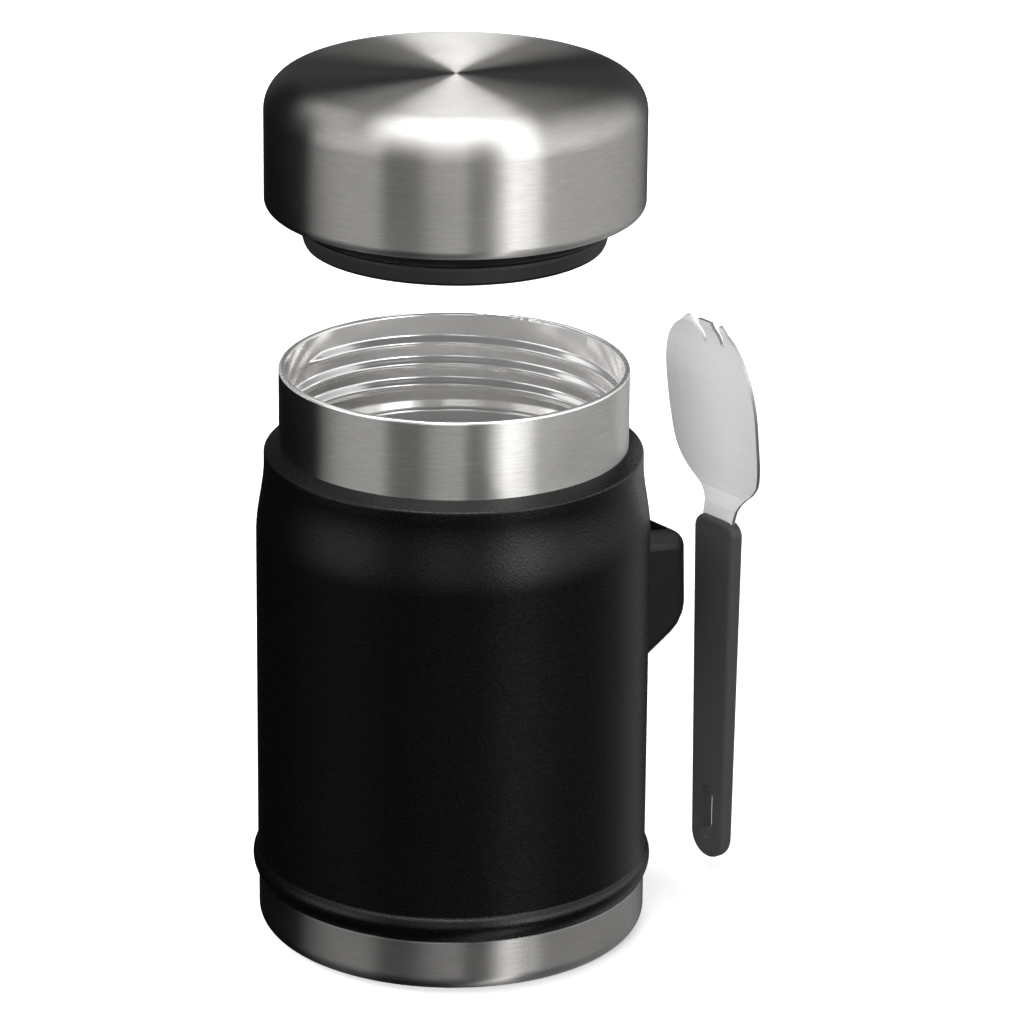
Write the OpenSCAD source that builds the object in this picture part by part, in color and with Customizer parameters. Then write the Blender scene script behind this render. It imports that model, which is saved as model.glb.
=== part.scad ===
// Insulated food jar with a screw-on lid, a side loop and a spork.
// Millimetres, +Z up. The origin is the middle of the jar's underside.
// The loop for the spork points along +X.

/* [Jar] */
// Diameter of the coated body
body_d = 88; // [86:0.5:100]
// Height of the jar without its lid, floor to rim
jar_h = 132; // [118:1:180]
// Thickness of the sheet steel of the outer wall
shell_t = 0.6; // [0.5:0.05:0.8]
// Empty space between the outer wall and the liner
vacuum_gap = 3.2; // [2.4:0.1:4]

/* [Neck and shoulder] */
// How much smaller the bare steel neck's radius is than the body's
neck_inset = 5.2; // [5:0.1:7]
// Height of bare neck that shows above the ledge
neck_h = 18.1; // [15:0.1:22]
// Width of the coated ledge round the neck
ledge_w = 3.4; // [2.8:0.1:3.6]
// How far the ledge falls from the neck to its lip
ledge_fall = 1.1; // [0.4:0.1:1.4]
// Rounding of the ledge's lip
lip_fillet = 1.2; // [0.9:0.1:1.6]
// Upright part under the lip, before the shoulder flares
lip_h = 2.9; // [2:0.1:5]
// Height over which the shoulder flares to the full body
flare_h = 16.4; // [10:0.2:22]
// Thickness of the rolled rim round the mouth
rim_w = 1.3; // [1.2:0.05:1.6]

/* [Bead and base] */
// Height of the middle of the bead above the floor
bead_z = 15.8; // [14.5:0.1:18]
// Height of the bead
bead_h = 9.8; // [7:0.2:11]
// How far the bead stands out from the body
bead_out = 1.1; // [0.4:0.1:2]
// Height of the bare steel base cup
base_h = 12.4; // [11:0.1:13]
// How much narrower the base cup's radius is than the body's
base_inset = 0.2; // [0.1:0.05:0.6]
// Rounding of the base cup's lower edge
base_fillet = 3.8; // [2:0.1:5]
// Depth of the ring pressed into the underside
press_d = 0.8; // [0.4:0.1:1]

/* [Liner] */
// Thickness of the liner's sheet steel
liner_t = 0.6; // [0.5:0.05:0.7]
// Height of the liner's floor above the ground
liner_floor_z = 12; // [11:0.5:20]
// Rounding between the liner's wall and floor
liner_fillet = 7; // [4:0.5:12]
// Depth of the ledge that the seal sits in, below the rim
seat_depth = 21.6; // [20:0.1:24]
// Height of the smooth throat below that ledge
throat_h = 6; // [5:0.1:9]
// Height over which the throat widens to the liner's wall
throat_flare_h = 10; // [8:0.5:16]

/* [Lid] */
// Height of the lid's steel cap
lid_h = 29.8; // [28:0.1:36]
// How much smaller the lid's radius is than the ledge's lip
lid_inset = 0.4; // [0:0.05:0.8]
// Rounding round the top of the lid
lid_top_fillet = 8; // [5:0.1:9]
// Rounding of the lid's lower edge
lid_hem_fillet = 2.2; // [1.4:0.1:2.3]
// Thickness of the cap's sheet steel
cap_t = 0.7; // [0.5:0.05:0.9]
// Gap between the closed lid and the ledge
lid_seat_gap = 0.4; // [0.3:0.05:0.8]
// How far the plug reaches below the lid's steel edge
plug_nose = 8; // [7.4:0.1:10]
// Radius of the plug's threaded wall, less than the mouth's by this
thread_gap = 2.1; // [1.6:0.05:2.6]
// How high the lid is drawn above its closed place
lid_raise = 54.5; // [30:0.1:80]

/* [Seal] */
// Gap between the seal and the throat
seal_gap = 0.35; // [0.3:0.05:0.6]
// Height of the seal
seal_h = 3.6; // [2.6:0.1:4]
// Width of the seal's section
seal_w = 2.4; // [1.8:0.1:3]

/* [Holder] */
// How far the loop stands out from the body
holder_out = 14.8; // [13:0.1:20]
// Width of the loop across the body
holder_w = 25.2; // [22.5:0.1:30]
// Height of the loop's outer face
holder_h = 26; // [16:0.5:40]
// Thickness of the loop's side walls
holder_side_t = 4.2; // [3:0.1:4.4]
// Thickness of the loop's outer wall
holder_face_t = 2.6; // [2.4:0.1:4.2]
// How far the loop's top lies below the ledge's lip
holder_drop = 29; // [22:0.5:34]
// How far the loop's underside reaches down towards the body
holder_skew = 6.2; // [3:0.1:8]
// Rounding of the loop's upper edges
holder_fillet = 4; // [2:0.1:4.2]

/* [Spork] */
// Length of the whole spork
spork_l = 132.6; // [120:0.2:150]
// Length of the spork's handle
handle_l = 84.2; // [70:0.5:95]
// Width of the handle at its upper end
handle_w = 13.8; // [11:0.1:14.2]
// Width of the handle at its lower end
handle_end_w = 11.4; // [9:0.1:12]
// Thickness of the handle at its upper end
handle_t = 3.7; // [3:0.1:4.4]
// Thickness of the handle at its lower end
handle_end_t = 3.6; // [2.6:0.1:4]
// Width of the spork's head
head_w = 30.6; // [26:0.5:38]
// Thickness of the spork's sheet steel
blade_t = 0.9; // [0.8:0.05:1.2]
// Depth of the bowl
bowl_depth = 3.4; // [2:0.1:5]
// How far the tip bends towards the jar
head_bend = 5.6; // [3:0.1:7]
// Length of the two slots between the tines
slot_l = 5.6; // [4:0.1:8]
// Gap between the spork and the loop's outer face, as it stands beside the jar
spork_gap = 4.8; // [3:0.1:20]
// How far the spork stands to the side of the loop's middle
spork_side = 14.3; // [0:0.1:20]
// Height of the spork's lower end above the ground
spork_z = 2; // [0.5:0.1:10]

/* [Hidden] */

// Round stretches of an outline are drawn in this many steps
arc_n = 10;
// Round solids are drawn with this many sides
round_fn = 120;
// Rounded corners of hulls
hull_fn = 32;
// Cuts run past their faces by this much
over = 1;
// Welded and pressed-in parts keep this much room
fit = 0.1;

steel = [0.78, 0.77, 0.75];
dull_steel = [0.62, 0.61, 0.6];
coat = [0.07, 0.07, 0.075];
moulding = [0.16, 0.155, 0.155];
seal_black = [0.2, 0.2, 0.2];
foam_white = [0.92, 0.92, 0.88];
glass = [0.45, 0.6, 0.5];

// Radii and heights of the jar
body_r = body_d / 2;
neck_r = body_r - neck_inset;
lip_r = neck_r + ledge_w;
base_r = body_r - base_inset;
neck_z = jar_h - neck_h;
lip_z = neck_z - ledge_fall;
flare_z1 = lip_z - lip_h;
flare_z0 = flare_z1 - flare_h;
mouth_r = neck_r - rim_w;
liner_r = body_r - shell_t - vacuum_gap - liner_t;
seat_z = jar_h - seat_depth;
throat_z = seat_z - throat_h;
// The throat is narrower than the plug's threaded wall by this much
throat_step = 1.05;
throat_r = mouth_r - thread_gap - throat_step;
// Rounding of the ledge's edge inside the mouth, on the far side of the sheet and on the near one
seat_inner_fillet = 0.4;
seat_fillet = liner_t + seat_inner_fillet;
// The flange under the neck band that the band is welded to
flange_w = 0.6;

// The coated wall's lower edge turns in by this much above the base cup
tuck = 0.4;
// The steel bands' edges are broken by this much
edge_break = 0.3;
// The part of the outer wall inside the base cup
spigot_r = base_r - shell_t - fit;
// Height of the closing disc of the outer wall above the ground
shell_base_z = 3;
// Thickness of that disc, and the height of its flange
shell_base_t = 0.8;
shell_base_flange = 5;
// Middle radius of the ring pressed into the underside, as a share of the base's, and its width
press_r_share = 0.72;
press_r = base_r * press_r_share;
press_w = 4;
// The liner's wall and floor are welded this far above the floor
liner_seam_h = 10;
getter_r = 5;
getter_h = 2;
getter_x = 18;
port_r = 2.4;
port_h = 1.2;

// Radii of the lid, and its heights above its closed place's floor
lid_r = lip_r - lid_inset;
lid_z = neck_z + lid_seat_gap;
lid_top_z = lid_z + lid_h;
hem_gap = 0.6;
sleeve_gap = 0.8;
sleeve_r = neck_r + sleeve_gap;
cap_in_r = lid_r - cap_t;
// Gap between the jar's rim and the roof of the lid's channel
roof_gap = 0.6;
roof_z = jar_h + roof_gap;
roof_t = 1.8;
plug_r = mouth_r - thread_gap;
plug_t = 1.8;
nose_z = lid_z - plug_nose;
// The seal's groove in the plug
seal_r = throat_r - seal_gap;
groove_r = seal_r - seal_w;
// The flange that keeps the seal on the plug
nose_flange_h = 0.6;
nose_flange_set = 1.1;
nose_flange_r = seal_r - nose_flange_set;
seal_z = nose_z + nose_flange_h;
seal_taper = 0.8;
// The plug's step stays this far above the ledge that the seal slides past
step_gap = 0.6;
plug_step_z = seat_z + step_gap;
plug_chamfer = 0.8;
plug_base_t = 1.6;

// The loop: outer face, heights and the hole for the spork
holder_x = body_r + holder_out;
holder_top_z = lip_z - holder_drop;
holder_low_z = holder_top_z - holder_h;
holder_rise = 2.2;
holder_low_fillet = 3.2;
// Radius of the turn from the outer face into the slanted underside
holder_turn = 9;
holder_pad = 3;
bracket_t = 0.8;
bracket_w = 12;
bracket_h = 16;

// The spork's middle, and the slot through its handle's lower end
spork_x = holder_x + spork_gap + handle_t / 2;
spork_y = -spork_side;
handle_top_z = spork_z + handle_l;
head_l = spork_l - handle_l;
handle_corner = 3.4;
handle_edge = 1.2;
eye_w = 2.9;
eye_h = 11.8;
eye_z = 11.4;
eye_dish = 1.4;
tang_l = 24;
slot_end_w = 1.3;
slot_end_y = 3.1;
slot_tip_y = 3.9;
slot_tip_w = 3.4;

// Half width of the blade at shares of the head's length, as shares of half the head's width
blade_w_shares = [[-0.52, 0.28], [-0.05, 0.33], [0.02, 0.34], [0.07, 0.37], [0.12, 0.5], [0.17, 0.7],
                  [0.23, 0.85], [0.32, 0.945], [0.45, 0.985], [0.6, 1], [0.75, 0.955], [0.86, 0.84],
                  [0.94, 0.65], [1, 0.4]];
// How far the blade's rim bends, as shares of head_bend
blade_bend_shares = [[-0.52, 0], [-0.02, 0], [0, 0], [0.06, -0.12], [0.12, -0.24], [0.2, -0.1],
                     [0.3, 0.12], [0.45, 0.34], [0.6, 0.52], [0.77, 0.76], [0.88, 0.92], [1, 1]];
// Depth of the bowl below its rim, as shares of bowl_depth
blade_bowl_shares = [[-0.52, 0], [0.02, 0], [0.08, 0], [0.2, 0.38], [0.35, 0.85], [0.5, 1], [0.7, 1],
                     [0.85, 0.93], [0.93, 0.6], [1, 0.05]];
blade_steps = 46;
blade_across = 12;

// Points of an arc about [r, z], from angle a0 to angle a1
function arc(r, z, rad, a0, a1) =
    [for (i = [0 : arc_n]) let (a = a0 + (a1 - a0) * i / arc_n) [r + rad * cos(a), z + rad * sin(a)]];

// A curve that leaves 0 and reaches 1 without a corner
function ease(k) = k * k * (3 - 2 * k);

function reverse(list) = [for (i = [len(list) - 1 : -1 : 0]) list[i]];

// Eased steps between two radii, from height z0 to height z1
function flare(r0, z0, r1, z1, n = arc_n) =
    [for (i = [0 : n]) [r0 + (r1 - r0) * ease(i / n), z0 + (z1 - z0) * i / n]];

// Smooth curve through a table of [place, value] pairs
function table_row(t, x, i = 0) = i >= len(t) - 2 || x < t[i + 1][0] ? i : table_row(t, x, i + 1);
function slope(t, i) =
    i <= 0 || i >= len(t) - 1 ? 0 : (t[i + 1][1] - t[i - 1][1]) / (t[i + 1][0] - t[i - 1][0]);
function curve(t, x) =
    let (i = table_row(t, x), w = t[i + 1][0] - t[i][0], k = (x - t[i][0]) / w)
    t[i][1] * (1 - ease(k)) + t[i + 1][1] * ease(k)
    + w * k * (1 - k) * ((1 - k) * slope(t, i) - k * slope(t, i + 1));

// Swelling of the bead at a height
function bead(z) =
    abs(z - bead_z) < bead_h / 2 ? bead_out * (1 + cos(180 * (z - bead_z) / (bead_h / 2))) / 2 : 0;

// The outer wall's outline, set in by a distance, from a start above the base cup
function shell_line(off, start) = concat(
    [for (i = [0 : 2 * arc_n])
        let (z = base_h + start + (bead_z + bead_h / 2 - base_h - start) * i / (2 * arc_n))
        [body_r - off + bead(z), z]],
    flare(body_r - off, flare_z0, lip_r - off, flare_z1, 2 * arc_n),
    arc(lip_r - lip_fillet, lip_z - lip_fillet, lip_fillet - off, 0, 90),
    [[neck_r, neck_z - off], [neck_r - flange_w, neck_z - off]]);

module outer_shell() {
    color(coat)
    rotate_extrude($fn = round_fn)
    polygon(concat([[body_r - tuck, base_h]], shell_line(0, tuck), reverse(shell_line(shell_t, shell_t)),
        [[spigot_r - shell_t, base_h + shell_t], [spigot_r - shell_t, shell_base_z],
         [spigot_r, shell_base_z], [spigot_r, base_h]]));
}

module neck_band() {
    color(steel)
    translate([0, 0, neck_z])
    difference() {
        union() {
            cylinder(r = neck_r, h = neck_h - rim_w / 2, $fn = round_fn);
            cylinder(r1 = neck_r + edge_break, r2 = neck_r, h = edge_break, $fn = round_fn);
        }
        translate([0, 0, -over]) cylinder(r = neck_r - flange_w, h = neck_h + over, $fn = round_fn);
    }
}

// The liner's wall, set out by a distance from its inner face
function liner_line(off) = concat(
    [[mouth_r + off, jar_h - rim_w / 2]],
    [[mouth_r + off, seat_z - off]],
    arc(throat_r + seat_fillet, seat_z - seat_fillet, seat_fillet - off, 90, 180),
    reverse(flare(liner_r + off, throat_z - throat_flare_h, throat_r + off, throat_z)),
    [[liner_r + off, liner_floor_z + liner_seam_h]]);

module inner_liner() {
    color(dull_steel)
    rotate_extrude($fn = round_fn) {
        polygon(concat(liner_line(0), reverse(liner_line(liner_t))));
        intersection() {
            translate([mouth_r + rim_w / 2, jar_h - rim_w / 2]) circle(d = rim_w, $fn = hull_fn);
            translate([mouth_r, jar_h - rim_w / 2]) square([rim_w, rim_w]);
        }
    }
}

// The liner's floor, set out by a distance from its inner face
function liner_floor_line(off) = concat(
    [[0, liner_floor_z - off]],
    arc(liner_r - liner_fillet, liner_floor_z + liner_fillet, liner_fillet + off, -90, 0),
    [[liner_r + off, liner_floor_z + liner_seam_h]]);

module liner_base() {
    color(dull_steel)
    rotate_extrude($fn = round_fn)
    polygon(concat(liner_floor_line(liner_t), reverse(liner_floor_line(0))));
}

module shell_base() {
    color(dull_steel)
    translate([0, 0, shell_base_z])
    difference() {
        cylinder(r = spigot_r - shell_t - fit, h = shell_base_flange, $fn = round_fn);
        translate([0, 0, shell_base_t])
        cylinder(r = spigot_r - shell_t - fit - shell_base_t, h = shell_base_flange, $fn = round_fn);
    }
}

module getter() {
    color(steel)
    translate([getter_x, 0, shell_base_z + shell_base_t])
    cylinder(r = getter_r, h = getter_h, $fn = round_fn);
}

module port_seal() {
    color(glass)
    translate([0, 0, shell_base_z - port_h]) cylinder(r = port_r, h = port_h, $fn = round_fn);
}

// The base cup's sheet, set in by a distance from its outer face
function base_line(off) = concat(
    [[0, off], [press_r - press_w / 2 - off, off], [press_r - press_w / 2 + press_d - off, press_d + off],
     [press_r + press_w / 2 - press_d + off, press_d + off], [press_r + press_w / 2 + off, off]],
    arc(base_r - base_fillet, base_fillet, base_fillet - off, -90, 0),
    [[base_r - off, base_h - fit - edge_break], [base_r - max(off, edge_break), base_h - fit]]);

module base_cup() {
    color(steel)
    rotate_extrude($fn = round_fn)
    polygon(concat(base_line(0), reverse(base_line(shell_t))));
}

module corner_ball(x, y, z, r) {
    translate([x, y, z]) sphere(r = r, $fn = hull_fn);
}

module spork_holder() {
    f = holder_fillet;
    g = holder_low_fillet;
    color(moulding)
    difference() {
        hull()
        for (s = [-1, 1]) {
            corner_ball(holder_x - f, s * (holder_w / 2 - f), holder_top_z - f, f);
            corner_ball(body_r - f, s * (holder_w / 2 - f), holder_top_z - f + holder_rise, f);
            for (a = [0, -20, -40, -60])
                corner_ball(holder_x - holder_turn + (holder_turn - g) * cos(a), s * (holder_w / 2 - g),
                            holder_low_z + holder_turn + (holder_turn - g) * sin(a), g);
            corner_ball(body_r - g, s * (holder_w / 2 - g), holder_low_z - holder_skew + g, g);
        }
        cylinder(r = body_r, h = jar_h, $fn = round_fn);
        translate([0, 0, holder_low_z - holder_skew - over])
        linear_extrude(holder_h + holder_skew + holder_rise + 2 * over)
        holder_hole();
        bracket_plate(fit);
    }
}

// Plan of the hole for the spork's handle, with rounded corners
module holder_hole() {
    r = handle_t / 2;
    x0 = body_r + holder_pad;
    x1 = holder_x - holder_face_t;
    y1 = holder_w / 2 - holder_side_t;
    for (x = [x0 + r, x1 - r], y = [-y1 + r, y1 - r]) translate([x, y]) circle(r = r, $fn = hull_fn);
    translate([x0 + r, -y1]) square([x1 - x0 - 2 * r, 2 * y1]);
    translate([x0, -y1 + r]) square([x1 - x0, 2 * y1 - 2 * r]);
}

// The welded plate that the loop's back is pressed over, with room round it
module bracket_plate(room) {
    intersection() {
        difference() {
            cylinder(r = body_r + bracket_t + room, h = jar_h, $fn = round_fn);
            translate([0, 0, -over]) cylinder(r = body_r, h = jar_h + 2 * over, $fn = round_fn);
        }
        translate([0, -bracket_w / 2 - room, (holder_top_z + holder_low_z - bracket_h) / 2 - room])
        cube([holder_x, bracket_w + 2 * room, bracket_h + 2 * room]);
    }
}

module holder_bracket() {
    color(steel) bracket_plate(0);
}

// Half of the lid's section, set in by a distance from its outer face
module cap_plan(off) {
    f = lid_top_fillet;
    g = lid_hem_fillet;
    translate([0, lid_z + off]) square([lid_r - f, lid_h - 2 * off]);
    translate([0, lid_z + off]) square([lid_r - g, lid_h / 2]);
    translate([0, lid_z + g]) square([lid_r - off, lid_h - f - g]);
    translate([lid_r - f, lid_top_z - f]) circle(r = f - off, $fn = round_fn);
    translate([lid_r - g, lid_z + g]) circle(r = g - off, $fn = round_fn);
}

module lid_cap() {
    color(steel)
    translate([0, 0, lid_raise])
    rotate_extrude($fn = round_fn)
    difference() {
        cap_plan(0);
        cap_plan(cap_t);
        translate([0, lid_z]) square([neck_r + hem_gap, lid_hem_fillet]);
    }
}

module lid_plug() {
    color(seal_black)
    translate([0, 0, lid_raise])
    rotate_extrude($fn = round_fn)
    polygon([
        [sleeve_r, lid_z + lid_hem_fillet], [cap_in_r - fit, lid_z + lid_hem_fillet],
        [cap_in_r - fit, roof_z + roof_t], [plug_r - plug_t, roof_z + roof_t],
        [plug_r - plug_t, plug_step_z + plug_t], [groove_r - plug_t, plug_step_z + plug_t / 2],
        [groove_r - plug_t, nose_z + plug_base_t + fit], [groove_r - plug_t / 2, nose_z + plug_base_t + fit],
        [groove_r - plug_t / 2, nose_z], [nose_flange_r, nose_z], [nose_flange_r, seal_z],
        [groove_r, seal_z], [groove_r, seal_z + seal_h], [plug_r - plug_chamfer, plug_step_z],
        [plug_r, plug_step_z + plug_chamfer], [plug_r, roof_z], [sleeve_r, roof_z]]);
}

module lid_foam() {
    color(foam_white)
    translate([0, 0, lid_raise])
    rotate_extrude($fn = round_fn) {
        polygon([
            [0, nose_z + plug_base_t + fit], [groove_r - plug_t - fit, nose_z + plug_base_t + fit],
            [groove_r - plug_t - fit, plug_step_z + plug_t], [plug_r - plug_t - fit, plug_step_z + 2 * plug_t],
            [plug_r - plug_t - fit, roof_z + roof_t + 2 * fit], [0, roof_z + roof_t + 2 * fit]]);
        intersection() {
            cap_plan(cap_t + fit);
            translate([0, roof_z + roof_t + fit]) square([lid_r, lid_h]);
        }
    }
}

module lid_seal() {
    color(seal_black)
    translate([0, 0, lid_raise])
    rotate_extrude($fn = round_fn)
    polygon([[groove_r + fit / 2, seal_z], [seal_r - seal_taper, seal_z],
             [seal_r, seal_z + seal_h - seal_taper], [seal_r, seal_z + seal_h],
             [groove_r + fit / 2, seal_z + seal_h]]);
}

module plug_base() {
    color(seal_black)
    translate([0, 0, lid_raise + nose_z])
    cylinder(r = groove_r - plug_t / 2 - fit, h = plug_base_t, $fn = round_fn);
}

// A point of the blade's middle surface at a share of the head's length and a share of its half width
function blade_point(share, side, off) =
    let (w = curve(blade_w_shares, share) * head_w / 2)
    [-curve(blade_bend_shares, share) * head_bend
        + curve(blade_bowl_shares, share) * bowl_depth * (1 - pow(abs(side), 3)) + off,
     side * w,
     handle_top_z + share * head_l];

// The whole blade, tang and head, as one lofted sheet
module blade_sheet() {
    n = blade_across + 1;
    low_share = -tang_l / head_l;
    pts = [for (f = [-1, 1], i = [0 : blade_steps], j = [0 : blade_across])
        let (share = low_share + (1 - low_share) * i / blade_steps)
        blade_point(share, 2 * j / blade_across - 1, f * blade_t / 2)];
    half = (blade_steps + 1) * n;
    skin = [for (i = [0 : blade_steps - 1], j = [0 : blade_across - 1], k = [0, 1])
        let (a = i * n + j, b = (i + 1) * n + j)
        k == 0 ? [a, b, b + 1] : [a, b + 1, a + 1]];
    back = [for (t = skin) [t[2] + half, t[1] + half, t[0] + half]];
    sides = [for (i = [0 : blade_steps - 1], j = [0, blade_across], k = [0, 1])
        let (a = i * n + j, b = (i + 1) * n + j, t = k == 0 ? [a, a + half, b + half] : [a, b + half, b])
        j == 0 ? t : reverse(t)];
    ends = [for (j = [0 : blade_across - 1], i = [0, blade_steps], k = [0, 1])
        let (a = i * n + j, t = k == 0 ? [a, a + 1, a + 1 + half] : [a, a + 1 + half, a + half])
        i == 0 ? t : reverse(t)];
    polyhedron(points = pts, faces = concat(skin, back, sides, ends));
}

// One slot between two tines, round at its lower end and wider at the tip
module tine_slot(s) {
    top_z = handle_top_z + head_l;
    end_z = top_z - slot_l;
    translate([-head_w, 0, 0])
    rotate([90, 0, 90])
    linear_extrude(2 * head_w) {
        translate([s * slot_end_y, end_z]) circle(d = slot_end_w, $fn = hull_fn);
        polygon([[s * (slot_end_y - slot_end_w / 2), end_z], [s * (slot_end_y + slot_end_w / 2), end_z],
                 [s * (slot_tip_y + slot_tip_w / 2), top_z + over],
                 [s * (slot_tip_y - slot_tip_w / 2), top_z + over]]);
    }
}

module spork_blade() {
    color(steel)
    translate([spork_x, spork_y, 0])
    difference() {
        blade_sheet();
        tine_slot(-1);
        tine_slot(1);
    }
}

// A disc with rounded edges that lies across the spork
module soft_disc(y, z, r, t) {
    e = handle_edge;
    translate([0, y, z])
    rotate([0, 90, 0])
    rotate_extrude($fn = hull_fn)
    for (s = [-1, 1]) {
        translate([r - e, s * (t / 2 - e)]) intersection() {
            circle(r = e, $fn = hull_fn);
            translate([0, -e]) square([e, 2 * e]);
        }
        translate([0, -t / 2]) square([r - e, t]);
        translate([r - e, -t / 2 + e]) square([e, t - 2 * e]);
    }
}

// Plan of a slot with round ends, standing on end
module eye_plan(w, h) {
    for (s = [-1, 1]) translate([0, s * (h - w) / 2]) circle(d = w, $fn = hull_fn);
    translate([-w / 2, -(h - w) / 2]) square([w, h - w]);
}

module spork_handle() {
    e = handle_end_w / 2;
    c = handle_corner;
    // Width of the pocket that the blade's tang is pressed into
    tang_w = curve(blade_w_shares, 0) * head_w + fit;
    color(moulding)
    translate([spork_x, spork_y, 0])
    difference() {
        hull() {
            for (s = [-1, 1]) soft_disc(s * (handle_w / 2 - c), handle_top_z - c, c, handle_t);
            soft_disc(0, spork_z + e, e, handle_end_t);
        }
        translate([-(blade_t + fit) / 2, -tang_w / 2, handle_top_z - tang_l - fit])
        cube([blade_t + fit, tang_w, tang_l + over]);
        translate([-handle_t, 0, spork_z + eye_z])
        rotate([90, 0, 90])
        linear_extrude(2 * handle_t) eye_plan(eye_w, eye_h);
        for (s = [-1, 1])
            translate([s * handle_end_t / 2, 0, spork_z + eye_z])
            rotate([90, 0, 90])
            hull() {
                linear_extrude(eye_dish, center = true) eye_plan(eye_w, eye_h);
                translate([0, 0, s * eye_dish]) linear_extrude(eye_dish, center = true)
                eye_plan(eye_w + 2 * eye_dish, eye_h + 2 * eye_dish);
            }
    }
}

outer_shell();
neck_band();
inner_liner();
liner_base();
shell_base();
getter();
port_seal();
base_cup();
spork_holder();
holder_bracket();
lid_cap();
lid_plug();
lid_foam();
lid_seal();
plug_base();
spork_blade();
spork_handle();
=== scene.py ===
# %% [markdown]
# # Insulated food jar
# The solids of the jar, its lid and its spork come packed from CAD. This file dresses them: it rolls the
# screw threads, turns the coated wall, gives every piece its finish, and sets up a small studio round them.

# %% Load the frame
import math
import bpy
from mathutils import Matrix, Vector


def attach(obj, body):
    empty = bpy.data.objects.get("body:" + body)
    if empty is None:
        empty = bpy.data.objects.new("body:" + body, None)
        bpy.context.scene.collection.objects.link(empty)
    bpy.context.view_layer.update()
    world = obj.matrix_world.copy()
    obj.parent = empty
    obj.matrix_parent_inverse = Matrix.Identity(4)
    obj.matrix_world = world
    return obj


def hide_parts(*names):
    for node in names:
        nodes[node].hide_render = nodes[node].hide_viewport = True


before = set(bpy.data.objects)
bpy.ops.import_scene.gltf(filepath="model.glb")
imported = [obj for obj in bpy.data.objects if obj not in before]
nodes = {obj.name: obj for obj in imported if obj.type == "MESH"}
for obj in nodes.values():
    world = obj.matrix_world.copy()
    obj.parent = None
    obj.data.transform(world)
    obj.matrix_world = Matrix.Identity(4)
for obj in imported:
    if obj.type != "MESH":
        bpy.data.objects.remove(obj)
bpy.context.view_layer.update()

MM = 0.001

# %% [markdown]
# ## The camera
# The camera stands where the photographer's did: 1.19 m away, 38 degrees round from the front and 20 degrees
# up. It aims at a point a little to the right of the jar's axis, so that the spork fits in. The distance
# matters as much as the angle: a nearer camera would open the round rims further than they are. The focal
# length was measured in pixels of the frame, so it is turned into millimetres of the sensor.

# %% Set the camera
AZIMUTH, ELEVATION, ROLL = math.radians(-38), math.radians(20.077), math.radians(0.55)
DISTANCE, FOCAL_PX, FRAME_PX = 1.1941, 5361.8, 1013
AIM_RIGHT, AIM_UP = 11.81 * MM, 98.9 * MM
SENSOR_WIDTH, FAR_CLIP = 36, 20
UP = Vector((0, 0, 1))
right = Vector((math.cos(AZIMUTH), math.sin(AZIMUTH), 0))
forward = Vector((-math.sin(AZIMUTH), math.cos(AZIMUTH), 0))
to_camera = -forward * math.cos(ELEVATION) + UP * math.sin(ELEVATION)
camera = bpy.data.objects.new("camera", bpy.data.cameras.new("camera"))
bpy.context.scene.collection.objects.link(camera)
camera.data.sensor_width = SENSOR_WIDTH
camera.data.lens = FOCAL_PX / FRAME_PX * SENSOR_WIDTH
camera.data.clip_end = FAR_CLIP
camera.location = right * AIM_RIGHT + UP * AIM_UP + DISTANCE * to_camera
facing = to_camera.to_track_quat("Z", "Y").to_matrix()
camera.rotation_euler = (facing @ Matrix.Rotation(ROLL, 3, "Z")).to_euler()
bpy.context.scene.camera = camera
print("lens:", round(camera.data.lens, 1), "mm")

# %% [markdown]
# ## Turned pieces
# Everything round on this jar is an outline carried about its axis. A lathe does that with a tool, and Blender
# with the Screw modifier. Each new piece here starts as a circle with as many points as its outline has. The
# points are moved onto the outline in a plane through the axis, and the modifier then carries them round.

# %% Helpers for turned pieces
def only(piece):
    """Select one object alone and make it active, because an operator acts on all that is selected."""
    bpy.ops.object.select_all(action="DESELECT")
    piece.select_set(True)
    bpy.context.view_layer.objects.active = piece
    return piece


def stand_outline(name, points, angle=0.0, rise=0.0):
    """A closed outline in a plane through the axis. points lists (radius, height), in metres."""
    bpy.ops.mesh.primitive_circle_add(vertices=len(points), radius=MM)
    piece = only(bpy.context.object)
    piece.name = piece.data.name = name
    bpy.ops.object.transform_apply()
    for vertex, (radius, height) in zip(piece.data.vertices, points):
        vertex.co = (radius * math.cos(angle), radius * math.sin(angle), rise + height)
    return piece


def face_outwards(piece, smooth_deg):
    """Turn all faces outwards, and shade edges smooth that bend by less than an angle."""
    only(piece)
    bpy.ops.object.mode_set(mode="EDIT")
    bpy.ops.mesh.select_all(action="SELECT")
    bpy.ops.mesh.normals_make_consistent(inside=False)
    bpy.ops.object.mode_set(mode="OBJECT")
    bpy.ops.object.shade_smooth_by_angle(angle=math.radians(smooth_deg))
    print(piece.name, "faces:", len(piece.data.polygons))


def ease(k):
    """A smooth step from 0 to 1."""
    k = max(0.0, min(1.0, k))
    return k * k * (3 - 2 * k)


# %% [markdown]
# ## Screw threads
# The mouth's thread is rolled into the liner, so it is a soft, rounded ridge. The plug's thread is moulded, so
# its flanks are flatter. Both are one profile carried along the same right-hand screw line. A thread could be
# one long swept curve, but the Screw modifier keeps the profile upright by itself. The modifier's ends are
# blunt, so each ring of points near an end is then drawn back to the wall and made half as high.

# %% Carry a profile along a screw line
PITCH = 5.0 * MM
STEPS_PER_TURN = 120
THREAD_SMOOTH_DEG = 40


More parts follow.
